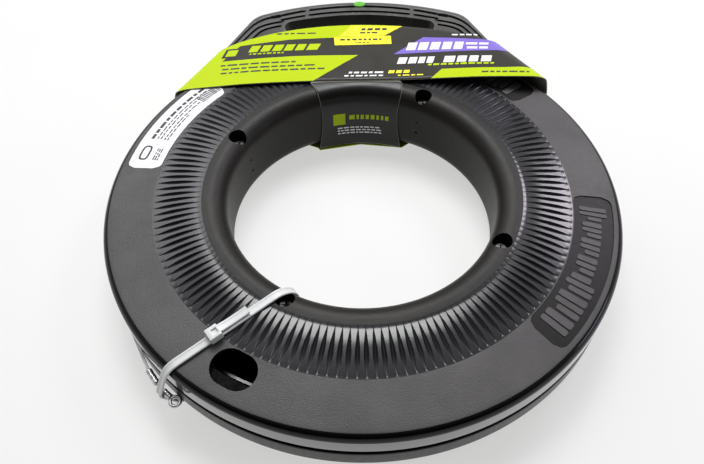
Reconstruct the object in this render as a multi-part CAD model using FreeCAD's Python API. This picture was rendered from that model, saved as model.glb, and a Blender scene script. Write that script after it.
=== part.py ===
"""Fish tape reel: a two-shell ring case that holds a coil of flat steel tape, with a carrying
handle that slides round the rim and a printed card sleeve wrapped round case and handle.

Frame: millimetres, +Z up along the hub axis, origin on that axis at the resting plane.
The handle lies towards +Y. Every node is written to parts/NODE.step.
"""
import FreeCAD
import Part
import math
import os

V = FreeCAD.Vector

# ---- case ----
CASE_R = 152.4            # rim radius: a 12 inch class case
HUB_R = 80.2              # wall of the open hub
HUB_HALF = 23.0           # half the thickness at the hub lip
HUB_FILLET = 9.9
RIM_FILLET = 4.6
RIM_STRAIGHT = 12.6       # height of the rim's straight wall above the middle plane
FACE_TILT = 5.76          # degrees that each face falls from hub to rim
WALL = 2.5
SLOT_HALF = 2.05          # half the height of the slot round the rim
PANEL_R = (123.5, 146.4)  # recessed panels and label lie between these radii
PANEL_DEPTH = 0.6
PANEL_ANGLES = ((-47.3, 44.5), (36.0, 44.5))
LABEL_START, LABEL_SWEEP, LABEL_T = 136.0, 36.0, 0.25
ACCESS_R, ACCESS_ANGLE, ACCESS_SIZE = 133.3, -119.1, (25.5, 19.8)

# ---- case screws ----
SCREW_ANGLES = (62.0, 152.0, 242.0, 332.0)
SCREW_R = 88.0
BOSS_R, BORE_R, SHANK_R, HEAD_R = 7.5, 5.5, 2.0, 4.2
BOSS_FLOOR, HEAD_T, SHANK_L = 12.5, 3.0, 24.0
PIN_Z, PIN_R = 4.8, 1.0   # small blind holes in the hub wall by each boss

# ---- tape ----
TAPE_W, TAPE_T = 3.2, 1.5
COIL_R = (136.2, 146.0)
COIL_LAYERS, COIL_PITCH = 8, 3.4
RUN_R = 150.95            # middle of the tape where it lies in the slot
LEAD_Z = 3.0              # inner lead's height above the middle plane
TAIL_ANGLE = 208.7        # the tape leaves the slot along the tangent here
LEADER = ((-113.0, -107.6), (-107.2, -115.2), (-103.3, -119.2), (-98.9, -123.0), (-96.4, -125.0))
CRIMP_R, CABLE_R = 1.8, 1.1
EYE_R, EYE_HOLE, EYE_T = 3.6, 1.6, 2.0
ANCHOR_ANGLE, RIVET_R = 212.0, 0.8

# ---- cable tie: its loop lies in an upright plane through TIE_FROM, at TIE_DIR degrees ----
TIE_FROM, TIE_DIR, TIE_W, TIE_T = (-41.8, -73.8), 216.6, 4.8, 1.2
TIE_HUB = ((5.0, 12.0), 11.5)        # circles that the loop bends round, as (along, up) and radius
TIE_RIM = ((64.6, 9.2), 9.0)
TIE_NOSE = ((76.5, 0.0), 1.95)
TIE_HEAD_S, TIE_HEAD = 42.1, (7.0, 7.2, 4.8)

MID_Z = TIE_HUB[0][1] + TIE_HUB[1] + TIE_T  # height of the middle plane: the reel stands on the strap

# ---- handle ----
HANDLE_HALF = 16.0
HANDLE_IN = 153.4         # saddle face round the rim
FOOT_ANGLE = 49.7         # the right foot ends here, and the left one at its mirror angle
FOOT = (106.1, 125.0)
SHOULDER = (80.1, 178.0)
CROWN = (0.0, 195.4)
SHOULDER_R, EDGE_R = 20.0, 8.0
OPEN_R, OPEN_ANGLE, OPEN_END = (159.5, 174.6), 19.0, 6.5
BADGE_R, BADGE_Y, BADGE_LEAN = 4.4, 188.0, 12.0
SHOES = ((54.0, 8.0), (108.0, 8.0))          # start and sweep of each runner shoe
FEED = (116.6, 130.0)                        # the tape crosses from coil to guide
GUIDE = (125.6, 4.2)
RUN_START = 130.4
HANDLE_SCREWS = ((-70.0, 172.5), (70.0, 172.5), (-98.0, 131.0), (98.0, 131.0))

# ---- card sleeve ----
CARD_T = 0.6
CARD_NEAR_Y, CARD_FAR_Y = 91.0, 158.0
CARD_NEAR = ((-127.2, 0), (-127.4, 10.5), (-125.4, 15.6), (-119, 18), (-78, 22.4), (-35, 24.5), (28, 24.8),
             (81, 27.2), (117, 26.8), (124.5, 24.2), (127.2, 12), (127.5, 0), (127.4, -14.5), (118.5, -22.8),
             (60, -23.9), (-60, -23.9), (-118.5, -22.8), (-127.4, -14.5))
CARD_FAR = ((-91, 0), (-90, 10.5), (-86, 16.4), (-76, 18), (-52, 18.2), (-23, 18.3), (19, 18.3),
            (54, 18.3), (76, 18.1), (86, 16.2), (90, 10), (91, 0), (89, -12), (76, -17.8),
            (40, -18.2), (-40, -18.2), (-76, -17.8), (-89, -12))
CARD_END_R, CARD_END_Y = 209.0, -49.5        # the far edge is an arc about this point
TAB_ANGLES = (67.0, 46.0)
TAB_GAP = 0.5
STICKER_T, STICKER_LIFT = 0.15, 0.12
STICKER_LENGTH = (-5.5, 27.0, 146.5, 156.4)  # x and y limits of the two stickers on the front panel
STICKER_STOCK = (-18.0, 22.3, 134.3, 145.2)


def polar(radius, degrees, z=0.0):
    a = math.radians(degrees)
    return V(radius * math.cos(a), radius * math.sin(a), z)


def line(a, b):
    return Part.makeLine(a, b)


def arc_about(centre, radius, a0, a1):
    """An arc in the XZ plane about (R, z) centre, from angle a0 to a1 in degrees."""
    def at(a):
        r = math.radians(a)
        return V(centre[0] + radius * math.cos(r), 0, centre[1] + radius * math.sin(r))
    return Part.Arc(at(a0), at((a0 + a1) / 2), at(a1)).toShape()


def chain(pieces):
    """A closed wire from edges and points, joining the gaps with straight lines."""
    edges = []
    last = None
    first = None
    for p in pieces:
        start, end = (p, p) if isinstance(p, FreeCAD.Vector) else (p.firstVertex(True).Point, p.lastVertex(True).Point)
        if first is None:
            first = start
        if last is not None and (start - last).Length > 1e-6:
            edges.append(line(last, start))
        if not isinstance(p, FreeCAD.Vector):
            edges.append(p)
        last = end
    if (first - last).Length > 1e-6:
        edges.append(line(last, first))
    return Part.Wire(edges)


def revolve(wire, start=0.0, sweep=360.0):
    """A solid of revolution about Z, starting at an azimuth in degrees."""
    solid = Part.Face(wire).revolve(V(0, 0, 0), V(0, 0, 1), sweep)
    solid.rotate(V(0, 0, 0), V(0, 0, 1), start)
    return solid


def ring(r0, r1, z0, z1, start=0.0, sweep=360.0):
    wire = Part.makePolygon([V(r0, 0, z0), V(r1, 0, z0), V(r1, 0, z1), V(r0, 0, z1), V(r0, 0, z0)])
    return revolve(wire, start, sweep)


def cylinder(radius, height, base, axis=V(0, 0, 1)):
    return Part.makeCylinder(radius, height, base, axis)


def face_z(radius, drop=0.0):
    """Height of the upper face above the middle plane."""
    lean = math.radians(FACE_TILT)
    top = HUB_HALF - HUB_FILLET + HUB_FILLET * math.cos(lean)
    return top - (radius - HUB_R - HUB_FILLET - HUB_FILLET * math.sin(lean)) * math.tan(lean) - drop


def outline(inset):
    """The case's outer (inset 0) or inner (inset WALL) upper half profile, from hub to rim."""
    hub = arc_about((HUB_R + HUB_FILLET, HUB_HALF - HUB_FILLET), HUB_FILLET - inset, 180, 90 - FACE_TILT)
    rim = arc_about((CASE_R - RIM_FILLET, RIM_STRAIGHT), RIM_FILLET - inset, 90 - FACE_TILT, 0)
    return [hub, rim]


def case_half():
    """Upper half of the case: a ring shell, open at the slot, with four screw bosses."""
    body = revolve(chain([V(HUB_R, 0, 0), *outline(0), V(CASE_R, 0, SLOT_HALF), V(CASE_R - WALL, 0, SLOT_HALF),
                          V(CASE_R - WALL, 0, 0)]))
    hollow = revolve(chain([V(HUB_R + WALL, 0, -1), *outline(WALL), V(CASE_R - WALL, 0, -1)]))
    blank = revolve(chain([V(HUB_R, 0, 0), *outline(0), V(CASE_R, 0, 0)]))
    shell = body.cut(hollow)
    for a in SCREW_ANGLES:
        shell = shell.fuse(cylinder(BOSS_R, HUB_HALF + 1, polar(SCREW_R, a)).common(blank))
    return shell


def cut_pin_holes(shell, side):
    for a in SCREW_ANGLES:
        shell = shell.cut(cylinder(PIN_R, 2.4, polar(HUB_R - 1, a, side * PIN_Z), polar(1, a)))
    return shell


def access_hole():
    long, wide = ACCESS_SIZE
    flat = long - wide
    box = Part.makeBox(flat, wide, 30, V(-flat / 2, -wide / 2, 0))
    for x in (-flat / 2, flat / 2):
        box = box.fuse(cylinder(wide / 2, 30, V(x, 0, 0)))
    box.rotate(V(0, 0, 0), V(0, 0, 1), ACCESS_ANGLE + 90)
    box.translate(polar(ACCESS_R, ACCESS_ANGLE))
    return box


def face_recess(start, sweep, depth, rise):
    """A sector on the upper face, from depth below it to rise above it."""
    r0, r1 = PANEL_R
    wire = Part.makePolygon([V(r0, 0, face_z(r0, depth)), V(r1, 0, face_z(r1, depth)), V(r1, 0, face_z(r1, -rise)),
                             V(r0, 0, face_z(r0, -rise)), V(r0, 0, face_z(r0, depth))])
    return revolve(wire, start, sweep)


def rivet_hole():
    """The bore for the anchor's rivet, through hub wall, anchor and inner lead."""
    return cylinder(RIVET_R + 0.05, 8.0, polar(HUB_R + 0.9, ANCHOR_ANGLE, LEAD_Z), polar(1, ANCHOR_ANGLE))


def case_top_shell():
    shell = cut_pin_holes(case_half(), 1)
    for a in SCREW_ANGLES:
        shell = shell.cut(cylinder(BORE_R, 30, polar(SCREW_R, a, BOSS_FLOOR)))
        shell = shell.cut(cylinder(SHANK_R + 0.3, 30, polar(SCREW_R, a, -1)))
    for start, sweep in PANEL_ANGLES:
        shell = shell.cut(face_recess(start, sweep, PANEL_DEPTH, 3))
    shell = shell.cut(face_recess(LABEL_START, LABEL_SWEEP, LABEL_T, 3))
    shell = shell.cut(access_hole()).cut(rivet_hole())
    return shell.removeSplitter()


def case_bottom_shell():
    shell = case_half().mirror(V(0, 0, 0), V(0, 0, 1))
    shell = cut_pin_holes(shell, -1)
    for a in SCREW_ANGLES:
        shell = shell.cut(cylinder(SHANK_R + 0.05, 15, polar(SCREW_R, a, -14.5)))
    return shell.removeSplitter()


def cross_recess(radius, depth, z):
    """The cross that a driver fits, to be cut down from z."""
    arm = Part.makeBox(2 * radius, 0.9, depth, V(-radius, -0.45, z - depth))
    other = arm.copy()
    other.rotate(V(0, 0, 0), V(0, 0, 1), 90)
    return arm.fuse(other)


def screw(head_r, head_t, shank_r, shank_l):
    """A cross-head screw along Z, its head resting on z = 0."""
    head = cylinder(head_r, head_t, V(0, 0, 0))
    head = head.makeFillet(head_t * 0.4, [e for e in head.Edges if e.BoundBox.ZMin > head_t - 0.01])
    shank = cylinder(shank_r, shank_l, V(0, 0, -shank_l))
    return head.fuse(shank).cut(cross_recess(head_r * 0.55, head_t * 0.6, head_t)).removeSplitter()


def case_screws():
    out = []
    for a in SCREW_ANGLES:
        s = screw(HEAD_R, HEAD_T, SHANK_R, SHANK_L)
        s.rotate(V(0, 0, 0), V(0, 0, 1), a + 20)
        s.translate(polar(SCREW_R, a, BOSS_FLOOR))
        out.append(s)
    return Part.makeCompound(out)


def tape_coil():
    """The wound tape: one ring of six to seven turns for each layer."""
    low = -COIL_LAYERS * COIL_PITCH / 2 + (COIL_PITCH - TAPE_W) / 2
    layers = [low + i * COIL_PITCH for i in range(COIL_LAYERS)]
    return Part.makeCompound([ring(*COIL_R, z, z + TAPE_W) for z in layers])


def band(radius_at, a0, a1, z, steps):
    """A flat strip on edge that follows radius_at(angle), as thick and wide as the tape."""
    def side(offset):
        points = [polar(radius_at(a0 + (a1 - a0) * i / steps) + offset, a0 + (a1 - a0) * i / steps)
                  for i in range(steps + 1)]
        curve = Part.BSplineCurve()
        curve.interpolate(points)
        return curve.toShape(), points
    inner, p = side(-TAPE_T / 2)
    outer, q = side(TAPE_T / 2)
    wire = Part.Wire(Part.__sortEdges__([inner, outer, line(p[0], q[0]), line(p[-1], q[-1])]))
    solid = Part.Face(wire).extrude(V(0, 0, TAPE_W))
    solid.translate(V(0, 0, z - TAPE_W / 2))
    return solid


def smooth(x):
    x = min(1.0, max(0.0, x))
    return x * x * (3 - 2 * x)


def lead_radius(a):
    """The inner lead winds in from the coil, then drops to the anchor on the hub."""
    fall = 132.0 - 0.115 * (a + 120.8)
    return fall + (84.95 - fall) * smooth((a - 160.0) / 44.0)


def tape_inner_lead():
    return band(lead_radius, -150.0, ANCHOR_ANGLE + 4, LEAD_Z, 60).cut(rivet_hole())


def tape_anchor():
    r = HUB_R + WALL
    return ring(r + 0.05, r + 1.4, LEAD_Z - 6, LEAD_Z + 6, ANCHOR_ANGLE - 9, 16).cut(rivet_hole())


def anchor_rivet():
    """A blind rivet that holds the inner lead and the anchor to the hub wall."""
    out = polar(1, ANCHOR_ANGLE)
    shank = cylinder(RIVET_R, 5.0, polar(HUB_R + 1.0, ANCHOR_ANGLE, LEAD_Z), out)
    head = cylinder(2 * RIVET_R, 1.0, polar(HUB_R + WALL + 3.1, ANCHOR_ANGLE, LEAD_Z), out)
    return shank.fuse(head).removeSplitter()


def run_radius(a):
    """From the mouth of the guide the tape settles into the slot."""
    return 154.3 + (RUN_R - 154.3) * smooth((a - RUN_START) / 14.0)


def tape_slot_run():
    return band(run_radius, RUN_START, TAIL_ANGLE, 0, 24)


def feed_radius(a):
    return 147.4 + (154.3 - 147.4) * smooth((a - FEED[0]) / 9.0)


def tape_feed():
    return band(feed_radius, *FEED, 0, 10)


def tape_tail():
    """The straight stretch of tape from the slot to the first crimp."""
    a = polar(RUN_R, TAIL_ANGLE)
    b = V(*LEADER[0], 0)
    along = b - a
    side = V(0, 0, 1).cross(along)
    side.normalize()
    side = side * (TAPE_T / 2)
    wire = Part.makePolygon([a - side, b - side, b + side, a + side, a - side])
    solid = Part.Face(wire).extrude(V(0, 0, TAPE_W))
    solid.translate(V(0, 0, -TAPE_W / 2))
    return solid


def rod(radius, a, b):
    return cylinder(radius, (b - a).Length, a, b - a)


def leader_point(i):
    return V(*LEADER[i], 0)


def leader_eye():
    """A flat eye on a short neck that the front crimp grips."""
    centre = leader_point(4)
    base = leader_point(3)
    eye = cylinder(EYE_R, EYE_T, V(centre.x, centre.y, -EYE_T / 2))
    neck = rod(0.9, base + (centre - base) * 0.02, centre)
    shape = eye.fuse(neck).cut(cylinder(EYE_HOLE, EYE_T + 2, V(centre.x, centre.y, -EYE_T / 2 - 1)))
    return shape.cut(rod(CRIMP_R + 0.02, leader_point(2), base)).removeSplitter()


def case_label():
    r0, r1 = PANEL_R
    wire = Part.makePolygon([V(r, 0, face_z(r, d)) for r, d in ((r0, LABEL_T), (r1, LABEL_T), (r1, 0.02), (r0, 0.02))]
                            + [V(r0, 0, face_z(r0, LABEL_T))])
    return revolve(wire, LABEL_START + 0.2, LABEL_SWEEP - 0.4)


def tangent_angle(a, ra, b, rb):
    """Direction of the normal of the line that touches two circles on their outer side, in degrees."""
    dx, dz = b[0] - a[0], b[1] - a[1]
    return math.degrees(math.atan2(dz, dx) + math.acos((ra - rb) / math.hypot(dx, dz)))


def tie_loop(offset):
    """The closed line that the strap follows in its own plane, offset from the circles it bends round."""
    (hub, hub_r), (rim, rim_r), (nose, nose_r) = TIE_HUB, TIE_RIM, TIE_NOSE
    top = tangent_angle(hub, hub_r, rim, rim_r)
    out = tangent_angle(rim, rim_r, nose, nose_r)
    low_hub, low_rim = (hub[0], -hub[1]), (rim[0], -rim[1])
    return chain([arc_about(hub, hub_r + offset, 180, top), arc_about(rim, rim_r + offset, top, out),
                  arc_about(nose, nose_r + offset, out, -out), arc_about(low_rim, rim_r + offset, -out, -top),
                  arc_about(low_hub, hub_r + offset, -top, -180)])


def cable_tie():
    outer = Part.Face(tie_loop(TIE_T)).extrude(V(0, TIE_W, 0))
    strap = outer.cut(Part.Face(tie_loop(0)).extrude(V(0, TIE_W, 0)))
    strap.translate(V(0, -TIE_W / 2, 0))
    (hub, hub_r), (rim, rim_r) = TIE_HUB, TIE_RIM
    along = (TIE_HEAD_S - hub[0]) / (rim[0] - hub[0])
    rise = (hub[1] + hub_r) + (rim[1] + rim_r - hub[1] - hub_r) * along
    long, wide, high = TIE_HEAD
    head = Part.makeBox(long, wide, high, V(TIE_HEAD_S - long / 2, -wide / 2, rise + 0.5))
    head = head.makeFillet(0.8, head.Edges)
    tie = strap.fuse(head)
    tie.rotate(V(0, 0, 0), V(0, 0, 1), TIE_DIR)
    tie.translate(V(*TIE_FROM, 0))
    return tie.removeSplitter()


def handle_blank():
    """The handle's upper half, solid: two feet on the rim, sloping sides, round shoulders, a bowed grip."""
    def m(p):
        return V(-p[0], p[1], 0)
    foot, shoulder, crown = (V(*p, 0) for p in (FOOT, SHOULDER, CROWN))
    inner_r, inner_l = polar(HANDLE_IN, FOOT_ANGLE), polar(HANDLE_IN, 180 - FOOT_ANGLE)
    edges = [line(inner_r, foot), line(foot, shoulder), Part.Arc(shoulder, crown, m(SHOULDER)).toShape(),
             line(m(SHOULDER), m(FOOT)), line(m(FOOT), inner_l), Part.Arc(inner_l, V(0, HANDLE_IN, 0), inner_r).toShape()]
    solid = Part.Face(Part.Wire(edges)).extrude(V(0, 0, HANDLE_HALF))
    corners = [e for e in solid.Edges if e.BoundBox.ZLength > 1 and e.BoundBox.YMin > CROWN[1] - 20]
    solid = solid.makeFillet(SHOULDER_R, corners)
    outer = [e for e in solid.Edges if e.BoundBox.ZMin > HANDLE_HALF - 1e-3
             and min(math.hypot(v.X, v.Y) for v in e.Vertexes) > HANDLE_IN + 5]
    return solid.makeFillet(EDGE_R, outer)


def finger_opening(height):
    r0, r1 = OPEN_R
    slot = ring(r0, r1, 0, height, 90 - OPEN_ANGLE, 2 * OPEN_ANGLE)
    upright = [e for e in slot.Edges if abs(e.BoundBox.ZLength - height) < 1e-3]
    return slot.makeFillet(OPEN_END, upright)


def handle_half(side):
    """One moulded half: rounded outside, hollow inside, with seats for shoes, guide and screws."""
    solid = handle_blank().cut(finger_opening(HANDLE_HALF))
    solid = solid.cut(ring(179.0, 189.0, -1, 11, 74, 32))
    for a0, sweep in SHOES:
        solid = solid.cut(ring(150, 157.3, -1, 5.3, a0 - 0.15, sweep + 0.3))
    solid = solid.cut(ring(150, 156.5, -1, 2.2, FEED[0] - 1, 20))
    solid = solid.cut(ring(150, 157.3, -1, 3.8, GUIDE[0] - 0.15, GUIDE[1] + 0.3))
    for x, y in HANDLE_SCREWS:
        solid = solid.cut(cylinder(1.8 if side < 0 else 1.55, 13, V(x, y, -1)))
        if side < 0:
            solid = solid.cut(cylinder(3.4, 12, V(x, y, 11)))
    if side < 0:
        solid = solid.mirror(V(0, 0, 0), V(0, 0, 1))
    else:
        solid = solid.cut(badge(0.0))
    return solid.removeSplitter()


def badge(shrink):
    """A round button let into the crown of the grip, leaning back with its rounded edge."""
    disc = cylinder(BADGE_R - shrink, 1.5 if shrink else 4.0, V(0, 0, shrink))
    disc.rotate(V(0, 0, 0), V(1, 0, 0), -BADGE_LEAN)
    disc.translate(V(0, BADGE_Y, HANDLE_HALF - 1.7))
    return disc


def handle_screws():
    out = []
    for x, y in HANDLE_SCREWS:
        s = screw(3.1, 2.2, 1.5, 20.0)
        s.rotate(V(0, 0, 0), V(1, 0, 0), 180)
        s.translate(V(x, y, -11))
        out.append(s)
    return Part.makeCompound(out)


def runner_shoe(a0, sweep):
    """A nylon shoe: a block in the handle, a neck through the slot and a wider foot behind the rim."""
    block = ring(153.7, 157.1, -5, 5, a0, sweep)
    neck = ring(149.0, 154.5, -1.75, 1.75, a0, sweep)
    foot = ring(146.6, 149.55, -4.5, 4.5, a0, sweep)
    return block.fuse(neck).fuse(foot).removeSplitter()


def tape_guide():
    a0, sweep = GUIDE
    return ring(152.9, 157.1, -3.6, 3.6, a0, sweep).cut(ring(153.2, 155.5, -1.9, 1.9, a0 - 1, sweep + 2))


def card_wire(points, y, inset):
    """A closed polygon in the plane at y, moved inwards by inset."""
    n = len(points)
    out = []
    for i in range(n):
        (x0, z0), (x1, z1), (x2, z2) = points[i - 1], points[i], points[(i + 1) % n]
        a, b = V(x1 - x0, 0, z1 - z0), V(x2 - x1, 0, z2 - z1)
        a.normalize()
        b.normalize()
        turn = V(a.z + b.z, 0, -(a.x + b.x))
        turn.normalize()
        grow = inset / max(0.3, math.sqrt((1 + a.dot(b)) / 2))
        out.append(V(x1, y, z1) + turn * grow)
    return Part.makePolygon(out + [out[0]])


def card_tube(inset, reach):
    """The sleeve's outer (inset 0) or inner form, ruled between its near and far outlines."""
    def at(y):
        t = (y - CARD_NEAR_Y) / (CARD_FAR_Y - CARD_NEAR_Y)
        return [(n[0] + (f[0] - n[0]) * t, n[1] + (f[1] - n[1]) * t) for n, f in zip(CARD_NEAR, CARD_FAR)]
    y0, y1 = CARD_NEAR_Y - reach, CARD_FAR_Y + 4 + reach
    return Part.makeLoft([card_wire(at(y0), y0, inset), card_wire(at(y1), y1, inset)], True, True)


def tab_profile():
    """The tab's section: it folds over the hub lip and runs down inside the hub to the floor."""
    r, top = HUB_R - TAB_GAP, HUB_HALF - HUB_FILLET
    bend = HUB_FILLET + TAB_GAP
    outer = arc_about((HUB_R + HUB_FILLET, top), bend, 180, 90)
    inner = arc_about((HUB_R + HUB_FILLET, top), bend + CARD_T, 90, 180)
    out_r = HUB_R + HUB_FILLET + 4
    return chain([V(r, 0, CARD_T - MID_Z), outer, V(out_r, 0, HUB_HALF + TAB_GAP),
                  V(out_r, 0, HUB_HALF + TAB_GAP + CARD_T), inner, V(r - CARD_T, 0, CARD_T - MID_Z)])


def card_sleeve():
    tube = card_tube(0, 0).cut(card_tube(CARD_T, 2))
    tube = tube.common(cylinder(CARD_END_R, 80, V(0, CARD_END_Y, -40)))
    tab = revolve(tab_profile(), *TAB_ANGLES)
    a0, sweep = TAB_ANGLES
    floor = ring(HUB_R - TAB_GAP - CARD_T, HUB_R + 20, -MID_Z, CARD_T - MID_Z, a0, sweep)
    sleeve = tube.fuse(tab).fuse(floor)
    return sleeve.removeSplitter()


def card_sticker(x0, x1, y0, y1):
    """A thin sticker that lies along the card's sloping front panel."""
    near, far = 24.8, 18.3
    def z(y):
        return far + (CARD_FAR_Y - y) * (near - far) / (CARD_FAR_Y - CARD_NEAR_Y) + STICKER_LIFT
    wire = Part.makePolygon([V(x0, y0, z(y0)), V(x0, y1, z(y1)), V(x0, y1, z(y1) + STICKER_T),
                             V(x0, y0, z(y0) + STICKER_T), V(x0, y0, z(y0))])
    return Part.Face(wire).extrude(V(x1 - x0, 0, 0))


NODES = {
    "case_top_shell": case_top_shell,
    "case_bottom_shell": case_bottom_shell,
    "case_screws": case_screws,
    "tape_coil": tape_coil,
    "tape_inner_lead": tape_inner_lead,
    "tape_anchor": tape_anchor,
    "anchor_rivet": anchor_rivet,
    "tape_slot_run": tape_slot_run,
    "tape_tail": tape_tail,
    "leader_crimp_rear": lambda: rod(CRIMP_R, leader_point(0), leader_point(1)),
    "leader_cable": lambda: rod(CABLE_R, leader_point(1), leader_point(2)),
    "leader_crimp_front": lambda: rod(CRIMP_R, leader_point(2), leader_point(3)),
    "leader_eye": leader_eye,
    "case_label": case_label,
    "cable_tie": cable_tie,
    "handle_top_half": lambda: handle_half(1),
    "handle_bottom_half": lambda: handle_half(-1),
    "handle_screws": handle_screws,
    "handle_badge": lambda: badge(0.1),
    "runner_shoe_right": lambda: runner_shoe(*SHOES[0]),
    "runner_shoe_left": lambda: runner_shoe(*SHOES[1]),
    "tape_guide": tape_guide,
    "tape_feed": tape_feed,
    "card_sleeve": card_sleeve,
    "sleeve_sticker_length": lambda: card_sticker(*STICKER_LENGTH),
    "sleeve_sticker_stock": lambda: card_sticker(*STICKER_STOCK),
}


def main():
    os.makedirs("parts", exist_ok=True)
    for name, make in NODES.items():
        shape = make()
        shape.translate(V(0, 0, MID_Z))
        print(name, "solids", len(shape.Solids), "valid", shape.isValid(), "volume", round(shape.Volume / 1000, 2), "cm3")
        shape.exportStep("parts/" + name + ".step")


main()
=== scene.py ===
"""Looks for the fish tape reel: detailed shells, card sleeve, handle, tie, leader and materials round
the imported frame. Sizes are in millimetres, in the frame's own axes, and meshes are written in metres."""
import math
import random
from contextlib import contextmanager

import bmesh
import bpy
from mathutils import Matrix, Vector
from mathutils.geometry import convex_hull_2d


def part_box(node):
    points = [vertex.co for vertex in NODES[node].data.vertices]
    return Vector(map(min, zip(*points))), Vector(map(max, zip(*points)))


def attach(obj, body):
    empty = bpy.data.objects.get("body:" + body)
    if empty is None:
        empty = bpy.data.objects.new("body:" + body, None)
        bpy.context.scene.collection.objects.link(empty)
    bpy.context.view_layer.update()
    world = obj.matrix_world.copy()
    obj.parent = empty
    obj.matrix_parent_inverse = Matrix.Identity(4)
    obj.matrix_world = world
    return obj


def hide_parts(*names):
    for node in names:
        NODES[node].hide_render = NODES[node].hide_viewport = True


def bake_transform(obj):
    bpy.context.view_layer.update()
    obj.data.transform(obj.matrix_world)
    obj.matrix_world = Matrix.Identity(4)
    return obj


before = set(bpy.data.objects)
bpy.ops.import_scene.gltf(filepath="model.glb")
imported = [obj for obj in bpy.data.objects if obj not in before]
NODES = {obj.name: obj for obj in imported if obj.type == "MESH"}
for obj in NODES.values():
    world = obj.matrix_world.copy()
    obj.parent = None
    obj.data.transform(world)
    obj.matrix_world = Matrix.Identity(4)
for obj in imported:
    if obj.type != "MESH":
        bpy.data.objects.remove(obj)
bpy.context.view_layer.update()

MM = 0.001
X, Y, UP = Vector((1, 0, 0)), Vector((0, 1, 0)), Vector((0, 0, 1))
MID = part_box("case_top_shell")[0][2] / MM      # height of the plane between the two shells

# ---- case, as in the CAD ----
CASE_R, HUB_R, HUB_HALF, HUB_FILLET = 152.4, 80.2, 23.0, 9.9
RIM_FILLET, RIM_STRAIGHT, FACE_TILT, WALL, SLOT_HALF = 4.6, 12.6, 5.76, 2.5, 2.05
SCREW_ANGLES, SCREW_R, BORE_R, BOSS_FLOOR, BOSS_R = (62.0, 152.0, 242.0, 332.0), 88.0, 5.5, 12.5, 7.5
SHANK_GAP_R = 2.3                                # the hole in each well's floor, round the screw's shank
PIN_Z, PIN_R = 4.8, 0.9
PANEL_R, PANEL_DEPTH, PANEL_CORNER = (123.5, 146.4), 0.55, 5.5
PANELS = ((-47.3, -2.8), (36.0, 80.5))
STROKE_SPANS, STROKE_TALL, STROKE_SHORT = ((-6.4, -43.6), (76.0, 40.0)), (126.8, 142.6), (128.4, 139.4)
ACCESS_R, ACCESS_ANGLE, ACCESS_SIZE = 133.3, -119.1, (25.5, 19.8)
LABEL_ANGLES, PRINT_LIFT = (136.0, 172.0), 0.17

# ---- grip ribs: leaf-shaped grooves between smooth lands ----
RIBS, RIB_R, RIB_ROWS = 155, (94.3, 122.5), 24
GROOVE_DEPTH, GROOVE_WIDTH = 1.3, 0.31         # width as a part of the pitch, to one side
LAND_END, LAND_PEAK, LAND_KINK = -0.35, 0.42, 0.42
STATIONS = (-1.0, -0.62, -0.3, 0.0, 0.3, 0.62, 1.0)        # across each groove, as parts of its half width

# ---- tape and leader ----
TAPE_W, TAPE_T, RUN_R, RUN_START, TAIL_ANGLE = 3.2, 1.5, 150.95, 130.4, 208.7
MOUTH_R, SETTLE_SWEEP = 154.3, 14.0              # where the tape leaves the handle, and degrees to settle
CRIMP_R = 1.8
LEADER = ((-113.0, -107.6), (-107.2, -115.2), (-103.3, -119.2), (-98.9, -123.0), (-96.4, -125.0))

# ---- card sleeve ----
CARD_T, CARD_Y = 0.6, (91.0, 158.0)
CARD_NEAR = ((-127.2, 0), (-127.4, 10.5), (-125.4, 15.6), (-119, 18), (-78, 22.4), (-35, 24.5), (28, 24.8),
             (81, 27.2), (117, 26.8), (124.5, 24.2), (127.2, 12), (127.5, 0), (127.4, -14.5), (118.5, -22.8),
             (60, -23.9), (-60, -23.9), (-118.5, -22.8), (-127.4, -14.5))
CARD_FAR = ((-91, 0), (-90, 10.5), (-86, 16.4), (-76, 18), (-52, 18.2), (-23, 18.3), (19, 18.3),
            (54, 18.3), (76, 18.1), (86, 16.2), (90, 10), (91, 0), (89, -12), (76, -17.8),
            (40, -18.2), (-40, -18.2), (-76, -17.8), (-89, -12))
CARD_END_R, CARD_END_Y = 209.0, -49.5

# ---- studio ----
WORLD_DIM, WORLD_BRIGHT = 0.03, 0.60
BACK_POWER, RIGHT_POWER, LEFT_POWER, RIM_POWER, LIGHT_DISTANCE = 26, 8, 7, 2.5, 1.9
FLOOR_ALBEDO, FLOOR_GLOW = 0.27, 0.56
FLOOR_R, COVE_H = 3.3, 0.75                      # metres: a flat disc that curves up at its edge
COVE_STEPS, FLOOR_SIDES = 12, 96
SENSOR, LENS = 36.0, 35.795                      # the camera's frame width and focal length


# ---- meshes ----
def polar(radius, degrees, z=0.0):
    a = math.radians(degrees)
    return Vector((radius * math.cos(a), radius * math.sin(a), z))


def placed(name, data):
    """A new object in the scene."""
    obj = bpy.data.objects.new(name, data)
    bpy.context.scene.collection.objects.link(obj)
    return obj


def piece(name, verts, faces, materials, body, skins=None, smooth=True, sharp=None, slot=None):
    """A mesh object from millimetre vertices about the middle plane, riding on a body. skins gives the
    number of each face's material."""
    mesh = bpy.data.meshes.new(name)
    mesh.from_pydata([(v[0] * MM, v[1] * MM, (v[2] + MID) * MM) for v in verts], [], faces)
    for m in materials:
        mesh.materials.append(m)
    if skins is not None:
        mesh.polygons.foreach_set("material_index", skins)
    mesh.polygons.foreach_set("use_smooth", [smooth] * len(mesh.polygons))
    mesh.update()
    if sharp is not None:
        mesh.set_sharp_from_angle(angle=math.radians(sharp))
    obj = placed(name, mesh)
    if body:
        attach(obj, body)
    return obj


def tube_faces(rows, columns):
    """A tube of closed rows of vertices, with a flat cap on each end."""
    caps = [tuple(range(columns))[::-1], tuple(range((rows - 1) * columns, rows * columns))]
    return loop_faces(rows, columns, False, True) + caps


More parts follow.
